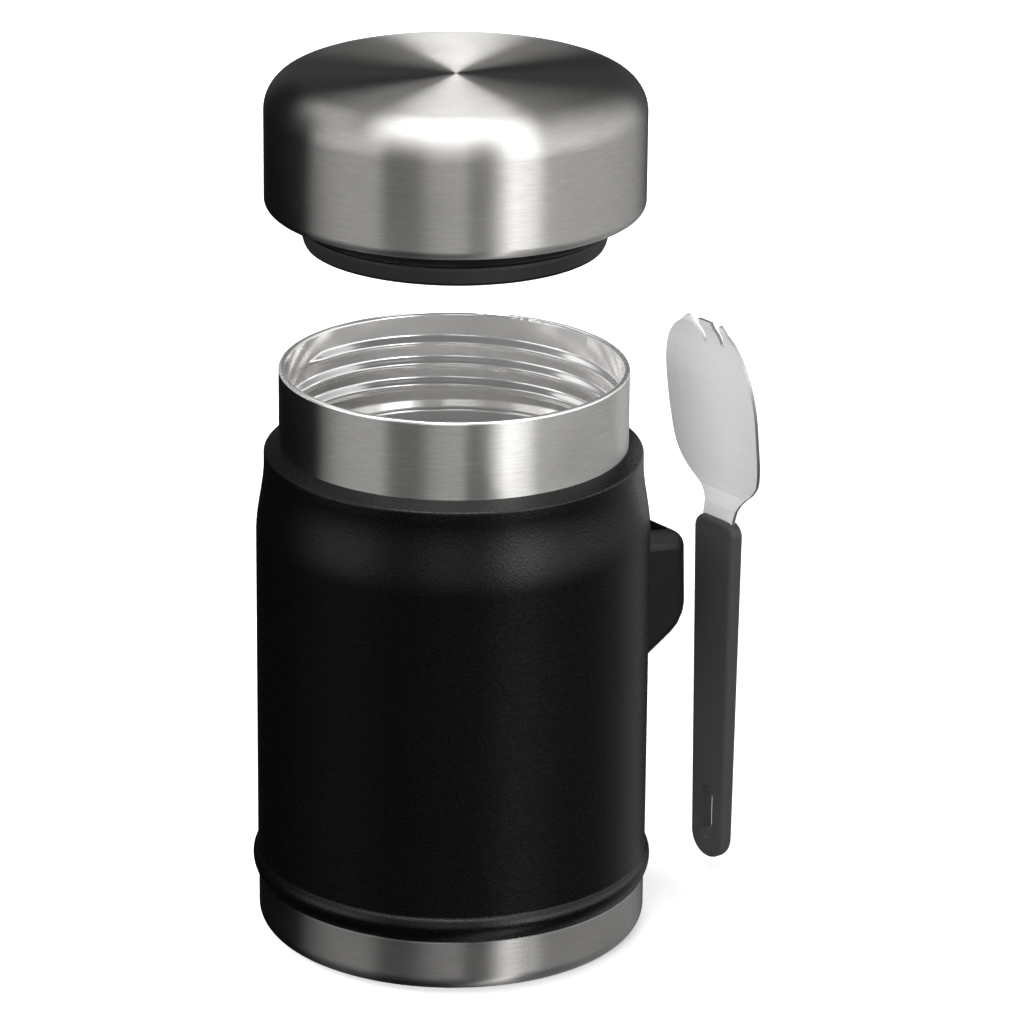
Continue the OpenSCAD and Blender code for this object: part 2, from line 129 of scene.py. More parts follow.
def sink_ends(ridge, ring_size, wall, bottom_z, turns, lead_top, lead_bottom):
    """Let both ends sink back into the wall, over leads given as shares of a turn."""
    rings = len(ridge.data.vertices) // ring_size
    for i, vertex in enumerate(ridge.data.vertices):
        done = (i // ring_size) / (rings - 1) * turns
        share = min(ease(done / lead_bottom), ease((turns - done) / lead_top))
        middle = bottom_z + done * PITCH
        radius = math.hypot(vertex.co.x, vertex.co.y)
        scale = (wall + (radius - wall) * share) / radius
        height = middle + (vertex.co.z - middle) * (1 + share) / 2
        vertex.co = (vertex.co.x * scale, vertex.co.y * scale, height)


def close_ends(ridge):
    """Fill the open end faces. Their edges are the ones with one face only."""
    only(ridge)
    bpy.ops.object.mode_set(mode="EDIT")
    bpy.ops.mesh.select_all(action="DESELECT")
    bpy.ops.mesh.select_mode(type="EDGE")
    bpy.ops.mesh.select_non_manifold()
    bpy.ops.mesh.fill_holes(sides=0)
    bpy.ops.object.mode_set(mode="OBJECT")


def thread(name, wall, profile, top_angle, top_z, turns, lead_top, lead_bottom):
    """A thread ridge on a round wall, drawn from its bottom end upwards."""
    bottom_z, bottom_angle = top_z - turns * PITCH, top_angle - turns * math.tau
    ridge = stand_outline(name, profile, bottom_angle, bottom_z)
    screw = ridge.modifiers.new("screw", "SCREW")
    screw.angle = turns * math.tau
    screw.screw_offset = turns * PITCH
    screw.steps = screw.render_steps = round(turns * STEPS_PER_TURN)
    screw.use_smooth_shade = True
    bpy.ops.object.modifier_apply(modifier="screw")
    sink_ends(ridge, len(profile), wall, bottom_z, turns, lead_top, lead_bottom)
    close_ends(ridge)
    face_outwards(ridge, THREAD_SMOOTH_DEG)
    return ridge


# %% [markdown]
# ### The mouth's thread
# The mouth's ridge stands 1.3 mm in from the wall, and its section is one wave of a cosine, as a rolled bead's
# is. Its upper end starts at the left of the mouth, where the photograph shows it, almost blunt. Its back is
# sunk a little into the liner, so that no gap shows between the two.

# %% Roll the mouth's thread
MOUTH_R, RIDGE_H, RIDGE_W, RIDGE_SUNK = 37.5 * MM, 1.3 * MM, 3.4 * MM, 0.3 * MM
THREAD_TOP_ANGLE, THREAD_TOP_Z, THREAD_TURNS = math.radians(115), 125.9 * MM, 2.64
ROLLED_LEAD_TOP, ROLLED_LEAD_BOTTOM = 0.03, 0.12
WAVE_POINTS = 16
wave = [(MOUTH_R - RIDGE_H * (1 - math.cos(math.tau * i / WAVE_POINTS)) / 2, RIDGE_W * (i / WAVE_POINTS - 0.5))
        for i in range(WAVE_POINTS + 1)]
wave += [(MOUTH_R + RIDGE_SUNK, RIDGE_W / 2), (MOUTH_R + RIDGE_SUNK, -RIDGE_W / 2)]
mouth_thread = thread("mouth_thread", MOUTH_R + RIDGE_SUNK / 2, wave, THREAD_TOP_ANGLE, THREAD_TOP_Z,
                      THREAD_TURNS, ROLLED_LEAD_TOP, ROLLED_LEAD_BOTTOM)
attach(mouth_thread, "jar")

# %% [markdown]
# ### The plug's thread
# The plug's ridge is narrower, so that there is play between the two. It rides on the lid. A screw motion
# carries a screw line along itself, so it is enough that this line lies a whole number of pitches and a half
# above the mouth's: then the ridges miss each other at every height of the lid. Its upper end lies a part of a
# turn behind the mouth's, and lower by the same part of a pitch, which keeps it on that line.

# %% Mould the plug's thread
PLUG_R, MOULD_H, MOULD_W, MOULD_CREST = 35.4 * MM, 1.5 * MM, 2.4 * MM, 1.2 * MM
PLUG_TURNS, PLUG_AHEAD, PLUG_ABOVE, MOULD_LEAD = 1.75, -0.4, 10.5, 0.08
flank = [(PLUG_R - RIDGE_SUNK, -MOULD_W / 2), (PLUG_R, -MOULD_W / 2), (PLUG_R + MOULD_H, -MOULD_CREST / 2),
         (PLUG_R + MOULD_H, MOULD_CREST / 2), (PLUG_R, MOULD_W / 2), (PLUG_R - RIDGE_SUNK, MOULD_W / 2)]
plug_thread = thread("plug_thread", PLUG_R - RIDGE_SUNK / 2, flank, THREAD_TOP_ANGLE + PLUG_AHEAD * math.tau,
                     THREAD_TOP_Z + (PLUG_ABOVE + PLUG_AHEAD) * PITCH, PLUG_TURNS, MOULD_LEAD, MOULD_LEAD)
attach(plug_thread, "lid")

# %% [markdown]
# ## The coated wall
# The coat hides the seams of the outer wall, and what shows is one turned skin: a rolled bead at the foot with
# a crisp upper corner, a straight wall, a slow flare at the shoulder and a small rounded ledge round the neck.
# The CAD bead is a soft swelling, so the skin is turned again here, from an outline that has the crisp corner.
# It stands for the CAD wall. The lengths below are in millimetres, from the foot to the neck.

# %% The outside of the skin
BODY_R, LIP_R, NECK_R, SKIN = 44.0, 42.2, 38.8, 0.6
FOOT_Z, BEAD_Z, CORNER_Z = 12.4, 15.8, 18.1
FLARE_FROM, FLARE_TO, LIP_Z, NECK_Z = 93.5, 109.9, 112.8, 113.9
FOOT_R, BEAD_R, CORNER_R, LIP_ROUND = 43.6, 45.1, 44.1, 0.7
FOOT_OUT, FOOT_UP = 0.4, 0.15        # the small bevel on which the skin meets the base cup
ROLL_OUT, ROLL_UP = 0.55, 0.5        # where the bead's lower arc starts, from the foot
CREASE_IN, CREASE_UP = 0.07, 0.12    # the crease over the bead, and where the wall starts
WALL_UP = 0.35
NECK_LAP, NECK_OVER = 0.2, 0.4       # how far the skin laps onto the neck's foot, out and up
FLARE_STEPS, ARC_STEPS = 24, 8


def bow(r_crest, z_crest, r_end, z_end, steps):
    """Points of an arc that leaves a crest upright and bends inwards to its end, the crest left out."""
    fall, height = r_crest - r_end, z_end - z_crest
    bend = (fall * fall + height * height) / (2 * fall)
    whole = math.asin(height / bend)
    return [(r_crest - bend * (1 - math.cos(whole * k / steps)), z_crest + bend * math.sin(whole * k / steps))
            for k in range(1, steps + 1)]


lower = bow(BEAD_R, BEAD_Z, FOOT_R + ROLL_OUT, FOOT_Z + ROLL_UP, ARC_STEPS)
upper = bow(BEAD_R, BEAD_Z, CORNER_R, CORNER_Z, ARC_STEPS)
skin = [(FOOT_R, FOOT_Z), (FOOT_R + FOOT_OUT, FOOT_Z + FOOT_UP)] + lower[::-1] + [(BEAD_R, BEAD_Z)] + upper
skin += [(CORNER_R - CREASE_IN, CORNER_Z + CREASE_UP), (BODY_R, CORNER_Z + WALL_UP)]
for k in range(FLARE_STEPS + 1):
    up_flare = k / FLARE_STEPS
    skin.append((BODY_R + (LIP_R - BODY_R) * ease(up_flare), FLARE_FROM + (FLARE_TO - FLARE_FROM) * up_flare))
for k in range(ARC_STEPS + 1):
    over_lip = math.pi / 2 * k / ARC_STEPS
    skin.append((LIP_R - LIP_ROUND * (1 - math.cos(over_lip)), LIP_Z - LIP_ROUND * (1 - math.sin(over_lip))))
print("outside points:", len(skin))

# %% [markdown]
# The skin has a back too, one sheet's thickness inside, because a wall without thickness shows its edge and
# can't be printed. The back follows in the opposite order, from the neck down to the foot, and closes the
# outline. It never shows, so it has few points.

# %% The back of the skin, and the turning
ROUND_STEPS, SKIN_SMOOTH_DEG = 192, 35
skin += [(NECK_R + NECK_LAP, NECK_Z + NECK_OVER), (NECK_R - SKIN, NECK_Z + NECK_OVER),
         (NECK_R - SKIN, NECK_Z - SKIN), (LIP_R - LIP_ROUND, LIP_Z - SKIN),
         (LIP_R - SKIN, LIP_Z - LIP_ROUND), (LIP_R - SKIN, FLARE_TO), (BODY_R - SKIN, FLARE_FROM),
         (BODY_R - SKIN, FOOT_Z + SKIN), (FOOT_R - SKIN, FOOT_Z)]
coat = stand_outline("coated_wall", [(radius * MM, height * MM) for radius, height in skin])
turn = coat.modifiers.new("turn", "SCREW")
turn.angle, turn.steps, turn.render_steps = math.tau, ROUND_STEPS, ROUND_STEPS
turn.use_merge_vertices, turn.merge_threshold = True, 0.01 * MM
bpy.ops.object.modifier_apply(modifier="turn")
face_outwards(coat, SKIN_SMOOTH_DEG)
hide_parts("outer_shell")
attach(coat, "jar")

# %% [markdown]
# ## Finishes
# A material is a small graph of nodes. These helpers keep each graph short: one makes a node and joins its
# inputs, and one starts a material and sets what is the same all over on the shader itself. The others stretch
# a value, blend two colours, and put a finished material on its pieces.

# %% Helpers for node graphs
def add(tree, kind, inputs=None, **settings):
    """A node with its settings and inputs. An input is a value or another node's output."""
    made = tree.nodes.new(kind)
    for key, value in settings.items():
        setattr(made, key, value)
    for key, value in (inputs or {}).items():
        if isinstance(value, bpy.types.NodeSocket):
            tree.links.new(value, made.inputs[key])
        else:
            made.inputs[key].default_value = value
    return made


def start_material(name, **values):
    """A material with an empty graph but for its shader. Returns the material, its graph and its shader."""
    made = bpy.data.materials.new(name)
    made.use_nodes = True
    tree = made.node_tree
    shader = next(n for n in tree.nodes if n.type == "BSDF_PRINCIPLED")
    for key, value in values.items():
        shader.inputs[key.replace("_", " ")].default_value = value
    return made, tree, shader


def spread(tree, value, low, high, to_low, to_high):
    """Stretch a value from one range onto another, and stop it at the ends."""
    return add(tree, "ShaderNodeMapRange", {"Value": value, "From Min": low, "From Max": high,
                                            "To Min": to_low, "To Max": to_high}).outputs[0]


def blend(tree, share, first, second):
    """Blend two colours, each a value or another node's output."""
    return add(tree, "ShaderNodeMix", {"Factor": share, 6: first, 7: second}, data_type="RGBA").outputs[2]


def dress(material, *pieces):
    """Put a material on CAD nodes, which are given by their names, and on new pieces."""
    for piece in pieces:
        if isinstance(piece, str):
            nodes[piece].material_slots[0].material = material
        else:
            piece.data.materials.append(material)
    print(material.name, "on", ", ".join(piece if isinstance(piece, str) else piece.name for piece in pieces))


# %% [markdown]
# ### Node groups
# An effect that several materials use is drawn once, as a node group, and placed in each with its own values.
# Copied nodes would do the same, but a later change would then have to be made in every copy.

# %% Helpers for node groups
def start_group(name, inputs, outputs):
    """A node group with named inputs (with their first values) and outputs."""
    group = bpy.data.node_groups.new(name, "ShaderNodeTree")
    for key, value in inputs.items():
        group.interface.new_socket(key, in_out="INPUT", socket_type="NodeSocketFloat").default_value = value
    for key in outputs:
        group.interface.new_socket(key, in_out="OUTPUT", socket_type="NodeSocketFloat")
    return group, group.nodes.new("NodeGroupInput").outputs, group.nodes.new("NodeGroupOutput").inputs


def place_group(tree, group, **values):
    """Place a node group in a material, with its own values."""
    made = add(tree, "ShaderNodeGroup", node_tree=group)
    for key, value in values.items():
        made.inputs[key].default_value = value
    return made.outputs


# %% [markdown]
# ### Brushing round an axis
# The steel was spun against an abrasive belt, so its scratches run round the jar. The pattern is noise in a
# stretched space: it changes fast across the scratches (height less radius, so it also runs over the lid's
# shoulder) and slowly along them. The way round is given by a direction, not an angle, so there is no seam. A
# second, soft noise makes clouds, because a belt never polishes evenly.

# %% The brushing group
ALONG, ACROSS = 9, 5000
SCRATCH_DETAIL, SCRATCH_ROUGHNESS, CLOUD_SCALE, CLOUD_DETAIL = 3, 0.6, 45, 2
brushing, given, result = start_group("brushing_round", {"Along": ALONG, "Across": ACROSS}, ["Scratch", "Cloud"])
place = add(brushing, "ShaderNodeTexCoord").outputs["Object"]
axes = add(brushing, "ShaderNodeSeparateXYZ", {"Vector": place}).outputs
flat = add(brushing, "ShaderNodeCombineXYZ", {"X": axes["X"], "Y": axes["Y"]}).outputs[0]
radius = add(brushing, "ShaderNodeVectorMath", {0: flat}, operation="LENGTH").outputs["Value"]
way = add(brushing, "ShaderNodeVectorMath", {0: flat}, operation="NORMALIZE").outputs[0]
along = add(brushing, "ShaderNodeVectorMath", {0: way, "Scale": given["Along"]}, operation="SCALE").outputs[0]
drop = add(brushing, "ShaderNodeMath", {0: axes["Z"], 1: radius}, operation="SUBTRACT").outputs[0]
across = add(brushing, "ShaderNodeMath", {0: drop, 1: given["Across"]}, operation="MULTIPLY").outputs[0]
lift = add(brushing, "ShaderNodeCombineXYZ", {"Z": across}).outputs[0]
space = add(brushing, "ShaderNodeVectorMath", {0: along, 1: lift}, operation="ADD").outputs[0]
scratch = add(brushing, "ShaderNodeTexNoise", {"Vector": space, "Scale": 1, "Detail": SCRATCH_DETAIL,
                                               "Roughness": SCRATCH_ROUGHNESS})
cloud = add(brushing, "ShaderNodeTexNoise", {"Vector": place, "Scale": CLOUD_SCALE, "Detail": CLOUD_DETAIL})
brushing.links.new(scratch.outputs["Fac"], result["Scratch"])
brushing.links.new(cloud.outputs["Fac"], result["Cloud"])
print("brushing group:", len(brushing.nodes), "nodes")

# %% [markdown]
# ### Steel
# One function makes every steel here. The scratches darken the colour a little, change the roughness and give
# a very low bump. The shader's own anisotropy spreads each reflection across the scratches, which makes the
# upright bands on the walls and the bow-tie on the lid's top. Scratches that were only painted on would give
# neither. The tangent runs round the axis, and a quarter of a turn lays the spread across it.

# %% Make a steel
NOISE_LOW, NOISE_HIGH = 0.3, 0.7     # noise seldom leaves this range
SMOOTHEST, ROUGHEST = 0.9, 1.12      # the clouds' share of the roughness
SCRATCH_STRENGTH, QUARTER_TURN = 0.35, 0.25


def steel(name, colour, roughness, anisotropy, depth, contrast=0.12, metallic=1.0):
    """depth is how deep the scratches are, and contrast how much they darken and lighten the colour."""
    made, tree, shader = start_material(name, Metallic=metallic, Anisotropic=anisotropy,
                                        Anisotropic_Rotation=QUARTER_TURN)
    marks = place_group(tree, brushing, Along=ALONG, Across=ACROSS)
    low, high = [c * (1 - contrast) for c in colour], [min(1, c * (1 + contrast)) for c in colour]
    tint = spread(tree, marks["Scratch"], NOISE_LOW, NOISE_HIGH, 0, 1)
    tree.links.new(blend(tree, tint, (*low, 1), (*high, 1)), shader.inputs["Base Color"])
    rough = spread(tree, marks["Cloud"], NOISE_LOW, NOISE_HIGH, roughness * SMOOTHEST, roughness * ROUGHEST)
    tree.links.new(rough, shader.inputs["Roughness"])
    bump = add(tree, "ShaderNodeBump", {"Height": marks["Scratch"], "Strength": SCRATCH_STRENGTH,
                                        "Distance": depth})
    tree.links.new(bump.outputs[0], shader.inputs["Normal"])
    if anisotropy:
        tangent = add(tree, "ShaderNodeTangent", direction_type="RADIAL", axis="Z")
        tree.links.new(tangent.outputs[0], shader.inputs["Tangent"])
    return made


# %% [markdown]
# ### The brushed steels
# Neck, lid and base were brushed at three grades. In the photograph the neck is the lightest and the base the
# darkest, and their colours follow that: the lid's and the base's darker colours are partly painted shade, for
# the dimmer light that their reflections take in. All three spread the light as far as the shader can.

# %% Neck, lid and base
BELT_DEPTH = 0.002 * MM
dress(steel("brushed_neck", (0.62, 0.61, 0.59), roughness=0.29, anisotropy=1.0, depth=BELT_DEPTH), "neck_band")
# painted shade: the lid's and the base's colours are darker than the neck's
dress(steel("brushed_lid", (0.5, 0.49, 0.475), roughness=0.34, anisotropy=1.0, depth=BELT_DEPTH), "lid_cap")
dress(steel("brushed_base", (0.42, 0.41, 0.4), roughness=0.3, anisotropy=1.0, depth=BELT_DEPTH), "base_cup")

# %% [markdown]
# ### The liner and the hidden sheet
# The liner was rolled to shape and polished, and its scratches are very shallow. Its near-white colour and its
# part-matt finish are painted light: they brighten the inside of the mouth, which the raised lid shades from the
# light above. The pieces inside the wall are plain sheet as it comes from the mill.

# %% Liner and hidden sheet
# painted light: the near-white colour and part-matt finish brighten the shaded inside of the mouth
rolled_painted_light = steel("rolled_liner", (0.94, 0.93, 0.92), roughness=0.13, anisotropy=0.5, depth=0.0005 * MM,
               contrast=0.04, metallic=0.72)
dress(rolled_painted_light, "inner_liner", "liner_base", mouth_thread)
hidden = steel("mill_sheet", (0.5, 0.5, 0.49), roughness=0.35, anisotropy=0.0, depth=0.01 * MM)
dress(hidden, "shell_base", "holder_bracket", "getter")

# %% [markdown]
# ### The spork's blade
# The blade is blanked from sheet, so its faces are satin and its edge all round is bare cut metal. The two are
# told apart by the way a face looks on the object: the faces look along X, the edge looks across it. The faces
# are given a pale, mostly matt colour as a painted reflection, which makes them as bright as a reflection would.
# The edge is wholly metallic and a darker grey, and the darker grey is partly painted shade on the sheet's
# thickness.

# %% Blade and its cut edge
SATIN_METALLIC, CUT_METALLIC, CUT_EDGE_SHADE_GREY = 0.2, 1.0, 0.5
FACE_LOOK, EDGE_LOOK = 0.6, 0.35     # how far along X a face looks, from which on it is a face, or an edge
# painted reflection: the faces' pale colour and low metallic give them the brightness of a reflection
blade = steel("satin_blade_painted_reflection", (0.8, 0.8, 0.8), roughness=0.4, anisotropy=0.0, depth=0.005 * MM, contrast=0.03,
              metallic=SATIN_METALLIC)
dress(blade, "spork_blade")
tree = blade.node_tree
shader = next(n for n in tree.nodes if n.type == "BSDF_PRINCIPLED")
looking = add(tree, "ShaderNodeTexCoord").outputs["Normal"]
along_x = add(tree, "ShaderNodeSeparateXYZ", {"Vector": looking}).outputs["X"]
facing_x = add(tree, "ShaderNodeMath", {0: along_x}, operation="ABSOLUTE").outputs[0]
edge = spread(tree, facing_x, FACE_LOOK, EDGE_LOOK, 0, 1)
tree.links.new(spread(tree, edge, 0, 1, SATIN_METALLIC, CUT_METALLIC), shader.inputs["Metallic"])
face_colour = shader.inputs["Base Color"].links[0].from_socket
# painted shade: the edge's darker grey stands for the shade on the sheet's thickness
tree.links.new(blend(tree, edge, face_colour, (CUT_EDGE_SHADE_GREY, CUT_EDGE_SHADE_GREY, CUT_EDGE_SHADE_GREY, 1)), shader.inputs["Base Color"])

# %% [markdown]
# ### Coat and mouldings
# The body's coat is baked powder: a fine orange-peel skin whose grains catch the light one by one. The
# mouldings have a shallower grain from their tool. Both are the same group, placed with their own depths.
# Rounded cells alone would look like hammered paint and noise alone like dust, so the grain is one less the
# other.

# %% The grain group
GRAIN_SCALE, GRAIN_DETAIL, GRAIN_ROUGHNESS = 1500, 2, 0.55
PATCH_SCALE, PATCH_DETAIL = 30, 3
grain, given, result = start_group("grain", {"Scale": GRAIN_SCALE, "Patches": PATCH_SCALE}, ["Grain", "Patch"])
place = add(grain, "ShaderNodeTexCoord").outputs["Object"]
fine = add(grain, "ShaderNodeTexNoise", {"Vector": place, "Scale": given["Scale"], "Detail": GRAIN_DETAIL,
                                         "Roughness": GRAIN_ROUGHNESS})
cells = add(grain, "ShaderNodeTexVoronoi", {"Vector": place, "Scale": given["Scale"]}, feature="SMOOTH_F1")
both = add(grain, "ShaderNodeMath", {0: fine.outputs["Fac"], 1: cells.outputs["Distance"]}, operation="SUBTRACT")
patch = add(grain, "ShaderNodeTexNoise", {"Vector": place, "Scale": given["Patches"], "Detail": PATCH_DETAIL})
grain.links.new(both.outputs[0], result["Grain"])
grain.links.new(patch.outputs["Fac"], result["Patch"])
print("grain group:", len(grain.nodes), "nodes")

# %% Make a grained finish
GRAIN_LOW, GRAIN_HIGH = -0.3, 0.5    # noise less cells stays in this range
HOLLOWS, TOPS = 1.15, 0.85           # grain tops are worn smoother than the hollows between them
GRAIN_STRENGTH = 0.5


def grained(name, colour, light_colour, roughness, scale, depth, specular=0.5):
    """A coat or moulding whose colour drifts between two near shades, with a grain of a scale and depth."""
    made, tree, shader = start_material(name, Specular_IOR_Level=specular)
    marks = place_group(tree, grain, Scale=scale)
    tree.links.new(blend(tree, marks["Patch"], (*colour, 1), (*light_colour, 1)), shader.inputs["Base Color"])
    rough = spread(tree, marks["Grain"], GRAIN_LOW, GRAIN_HIGH, roughness * HOLLOWS, roughness * TOPS)
    tree.links.new(rough, shader.inputs["Roughness"])
    bump = add(tree, "ShaderNodeBump", {"Height": marks["Grain"], "Strength": GRAIN_STRENGTH, "Distance": depth})
    tree.links.new(bump.outputs[0], shader.inputs["Normal"])
    return made


# %% [markdown]
# ### The black coat and the loop
# The coat is a deep, warm black. What tells it from the loop beside it is its grain, which is deep enough to
# sparkle on the shoulder. The loop is a dyed moulding, a shade lighter and duller.

# %% Coat and loop
dress(grained("powder_coat", (0.0011, 0.001, 0.001), (0.0018, 0.0016, 0.0016), roughness=0.28,
              scale=3000, depth=0.08 * MM, specular=0.3), coat)
dress(grained("loop_moulding", (0.011, 0.0107, 0.0107), (0.014, 0.0136, 0.0136), roughness=0.4,
              scale=3000, depth=0.02 * MM, specular=0.3), "spork_holder")

# %% [markdown]
# ### Handle, plug and seals
# The spork's handle is charcoal rather than black. The plug's colour is darker than the other mouldings' as
# painted shade, for the shade it hangs in under the lid. Seal, foam and port glass are hidden or nearly so, and
# are dressed all the same, because the pieces can be taken apart.

# %% Handle, plug, seal, foam and glass
dress(grained("handle_moulding", (0.05, 0.049, 0.049), (0.058, 0.056, 0.056), roughness=0.45,
              scale=3000, depth=0.02 * MM, specular=0.3), "spork_handle")
# painted shade: the plug's colour is darkened for the shade it hangs in under the lid
plug_painted_shade_black = grained("plug_moulding", (0.003, 0.003, 0.003), (0.005, 0.005, 0.005), roughness=0.35,
                     scale=3500, depth=0.01 * MM, specular=0.16)
dress(plug_painted_shade_black, "lid_plug", "plug_base", plug_thread)
dress(grained("seal_rubber", (0.01, 0.01, 0.01), (0.014, 0.014, 0.014), roughness=0.55,
              scale=2500, depth=0.01 * MM), "lid_seal")
dress(grained("rigid_foam", (0.8, 0.77, 0.66), (0.88, 0.86, 0.78), roughness=0.8,
              scale=900, depth=0.1 * MM), "lid_foam")
dress(grained("port_glass", (0.2, 0.32, 0.24), (0.26, 0.4, 0.3), roughness=0.1,
              scale=900, depth=0.005 * MM), "port_seal")

# %% [markdown]
# ## The studio
# A pale floor, a white world and four soft lamps. The floor is wide enough to have no edge in any view. It
# would show as light grey under plain light, so to the camera alone it glows a little, which whitens it and
# puts no more light on the jar. It still takes the jar's shadow.

# %% The floor
FLOOR_SIZE, FLOOR_GLOW = 12, 0.4
bpy.ops.mesh.primitive_plane_add(size=FLOOR_SIZE)
ground = only(bpy.context.object)
ground.name = "ground"
ground.visible_glossy = False
pale, tree, shader = start_material("pale_floor", Base_Color=(0.9, 0.9, 0.9, 1), Roughness=0.9,
                                    Specular_IOR_Level=0.1)
seen = add(tree, "ShaderNodeLightPath").outputs["Is Camera Ray"]
shader.inputs["Emission Color"].default_value = (1, 1, 1, 1)
glow = add(tree, "ShaderNodeMath", {0: seen, 1: FLOOR_GLOW}, operation="MULTIPLY").outputs[0]
tree.links.new(glow, shader.inputs["Emission Strength"])
dress(pale, ground)

# %% [markdown]
# The world is white to the camera, in metal and through glass. To matt surfaces it is less than half as
# bright, so that it fills their shade and leaves the modelling to the lamps.

# %% The world
WORLD_FILL, WORLD_WHITE = 0.4, 1.0
world = bpy.data.worlds.new("studio_world")
bpy.context.scene.world = world
world.use_nodes = True
tree = world.node_tree
background = next(n for n in tree.nodes if n.type == "BACKGROUND")
rays = add(tree, "ShaderNodeLightPath").outputs
camera_or_metal = add(tree, "ShaderNodeMath", {0: rays["Is Camera Ray"], 1: rays["Is Glossy Ray"]},
                      operation="ADD").outputs[0]
white_rays = add(tree, "ShaderNodeMath", {0: camera_or_metal, 1: rays["Is Transmission Ray"]},
                 operation="ADD", use_clamp=True).outputs[0]
background.inputs["Color"].default_value = (1, 1, 1, 1)
tree.links.new(spread(tree, white_rays, 0, 1, WORLD_FILL, WORLD_WHITE), background.inputs["Strength"])
print("world:", WORLD_WHITE, "seen,", WORLD_FILL, "as fill")

# %% [markdown]
# One wide lamp hangs overhead. A low one at the left reaches past the jar to the broad face of the spork. A
# small low one in front reaches under the raised lid to the far side of the mouth. A weak one behind keeps the
# back from going black. No lamp is mirrored in the steel. The cards below are, because they can be steered.

# %% The lamps
AIM_AT = UP * 0.1


def soft_lamp(name, round_deg, up, distance, width, height, power):
    """An area lamp that faces the jar. round_deg is the way round from the camera, to its right."""
    data = bpy.data.lights.new(name, "AREA")
    data.shape, data.size, data.size_y, data.energy = "RECTANGLE", width, height, power
    lamp = bpy.data.objects.new(name, data)
    bpy.context.scene.collection.objects.link(lamp)
    angle = math.radians(round_deg)
    ground_way = -forward * math.cos(angle) + right * math.sin(angle)
    lamp.location = ground_way * distance + UP * up
    lamp.rotation_euler = (AIM_AT - lamp.location).to_track_quat("-Z", "Y").to_euler()
    lamp.visible_camera = lamp.visible_glossy = False
    print(name, power, "W")


soft_lamp("overhead_box", round_deg=180, up=1.3, distance=0.1, width=1.0, height=1.0, power=6.0)
soft_lamp("left_fill", round_deg=-112, up=0.46, distance=0.93, width=0.7, height=0.7, power=10.0)
soft_lamp("front_fill", round_deg=-15, up=0.42, distance=0.95, width=0.4, height=0.3, power=5.8)
soft_lamp("back_fill", round_deg=180, up=0.46, distance=0.93, width=0.7, height=0.7, power=3.0)

# %% [markdown]
# ## The cards
# Bare steel has no colour of its own to show, only what stands round it, so grey cards stand round the jar, as
# in any photograph of steel. Only reflections see them. They could be a dozen separate planes, but one drum
# with painted walls has no gaps and is steered from one table.

# %% The drum
CARD_R, CARD_LOW, CARD_HIGH = 1.9, -3.2, 3.0
DRUM_SIDES = 128
bpy.ops.mesh.primitive_cylinder_add(vertices=DRUM_SIDES, radius=CARD_R, depth=CARD_HIGH - CARD_LOW,
                                    end_fill_type="NGON", location=(0, 0, (CARD_HIGH + CARD_LOW) / 2))
drum = only(bpy.context.object)
drum.name = "studio_cards"
bpy.ops.object.transform_apply()
drum.visible_camera = drum.visible_diffuse = drum.visible_shadow = drum.visible_transmission = False
print("drum:", 2 * CARD_R, "m wide,", CARD_HIGH - CARD_LOW, "m high")

# %% [markdown]
# ### Where a point of the drum is
# The drum is painted by place: how far to the camera's right and how near to it a point lies, the angle of the
# two, and its height. An upright wall that is seen from 20 degrees up mirrors what lies 20 degrees below the
# horizon, so the lower part of the drum counts as much as the part above the table.

# %% The card paper and its measures
BRIGHTEST = 10.0                     # colours stay under 1, so all levels are shares of this
card_paper = bpy.data.materials.new("card_paper")
card_paper.use_nodes = True
tree = card_paper.node_tree
tree.nodes.clear()
place = add(tree, "ShaderNodeTexCoord").outputs["Object"]
lateral = add(tree, "ShaderNodeVectorMath", {0: place, 1: right}, operation="DOT_PRODUCT").outputs["Value"]
nearer = add(tree, "ShaderNodeVectorMath", {0: place, 1: -forward}, operation="DOT_PRODUCT").outputs["Value"]
height = add(tree, "ShaderNodeSeparateXYZ", {"Vector": place}).outputs["Z"]


def grey(level):
    """The colour of a card of a level."""
    return (*[level / BRIGHTEST] * 3, 1)


def reckon(operation, first, second=0.0):
    """A sum in the card paper's graph."""
    return add(tree, "ShaderNodeMath", {0: first, 1: second}, operation=operation).outputs[0]


def step(value, at, soft):
    """1 where the value is past a place, with a soft edge."""
    return spread(tree, value, at - soft, at + soft, 0, 1)


def between(value, low, high, soft):
    """1 where the value lies between two places, with soft edges."""
    return reckon("MULTIPLY", step(value, low, soft), step(reckon("SUBTRACT", high, value), 0, soft))


angle = reckon("ARCTAN2", lateral, nearer)
print("card levels up to", BRIGHTEST)

# %% [markdown]
# ### The wall of cards
# Each row of the table is a place on the wall, in degrees round from the camera to its right, with how light
# the card is low down and higher up. Between two rows the level runs evenly. A round steel wall shows the
# cards as upright bands. The black coat shows the dark low part, and it stays black for that reason. Well above
# the table the cards are dimmer, or the lid's top would be white from behind.

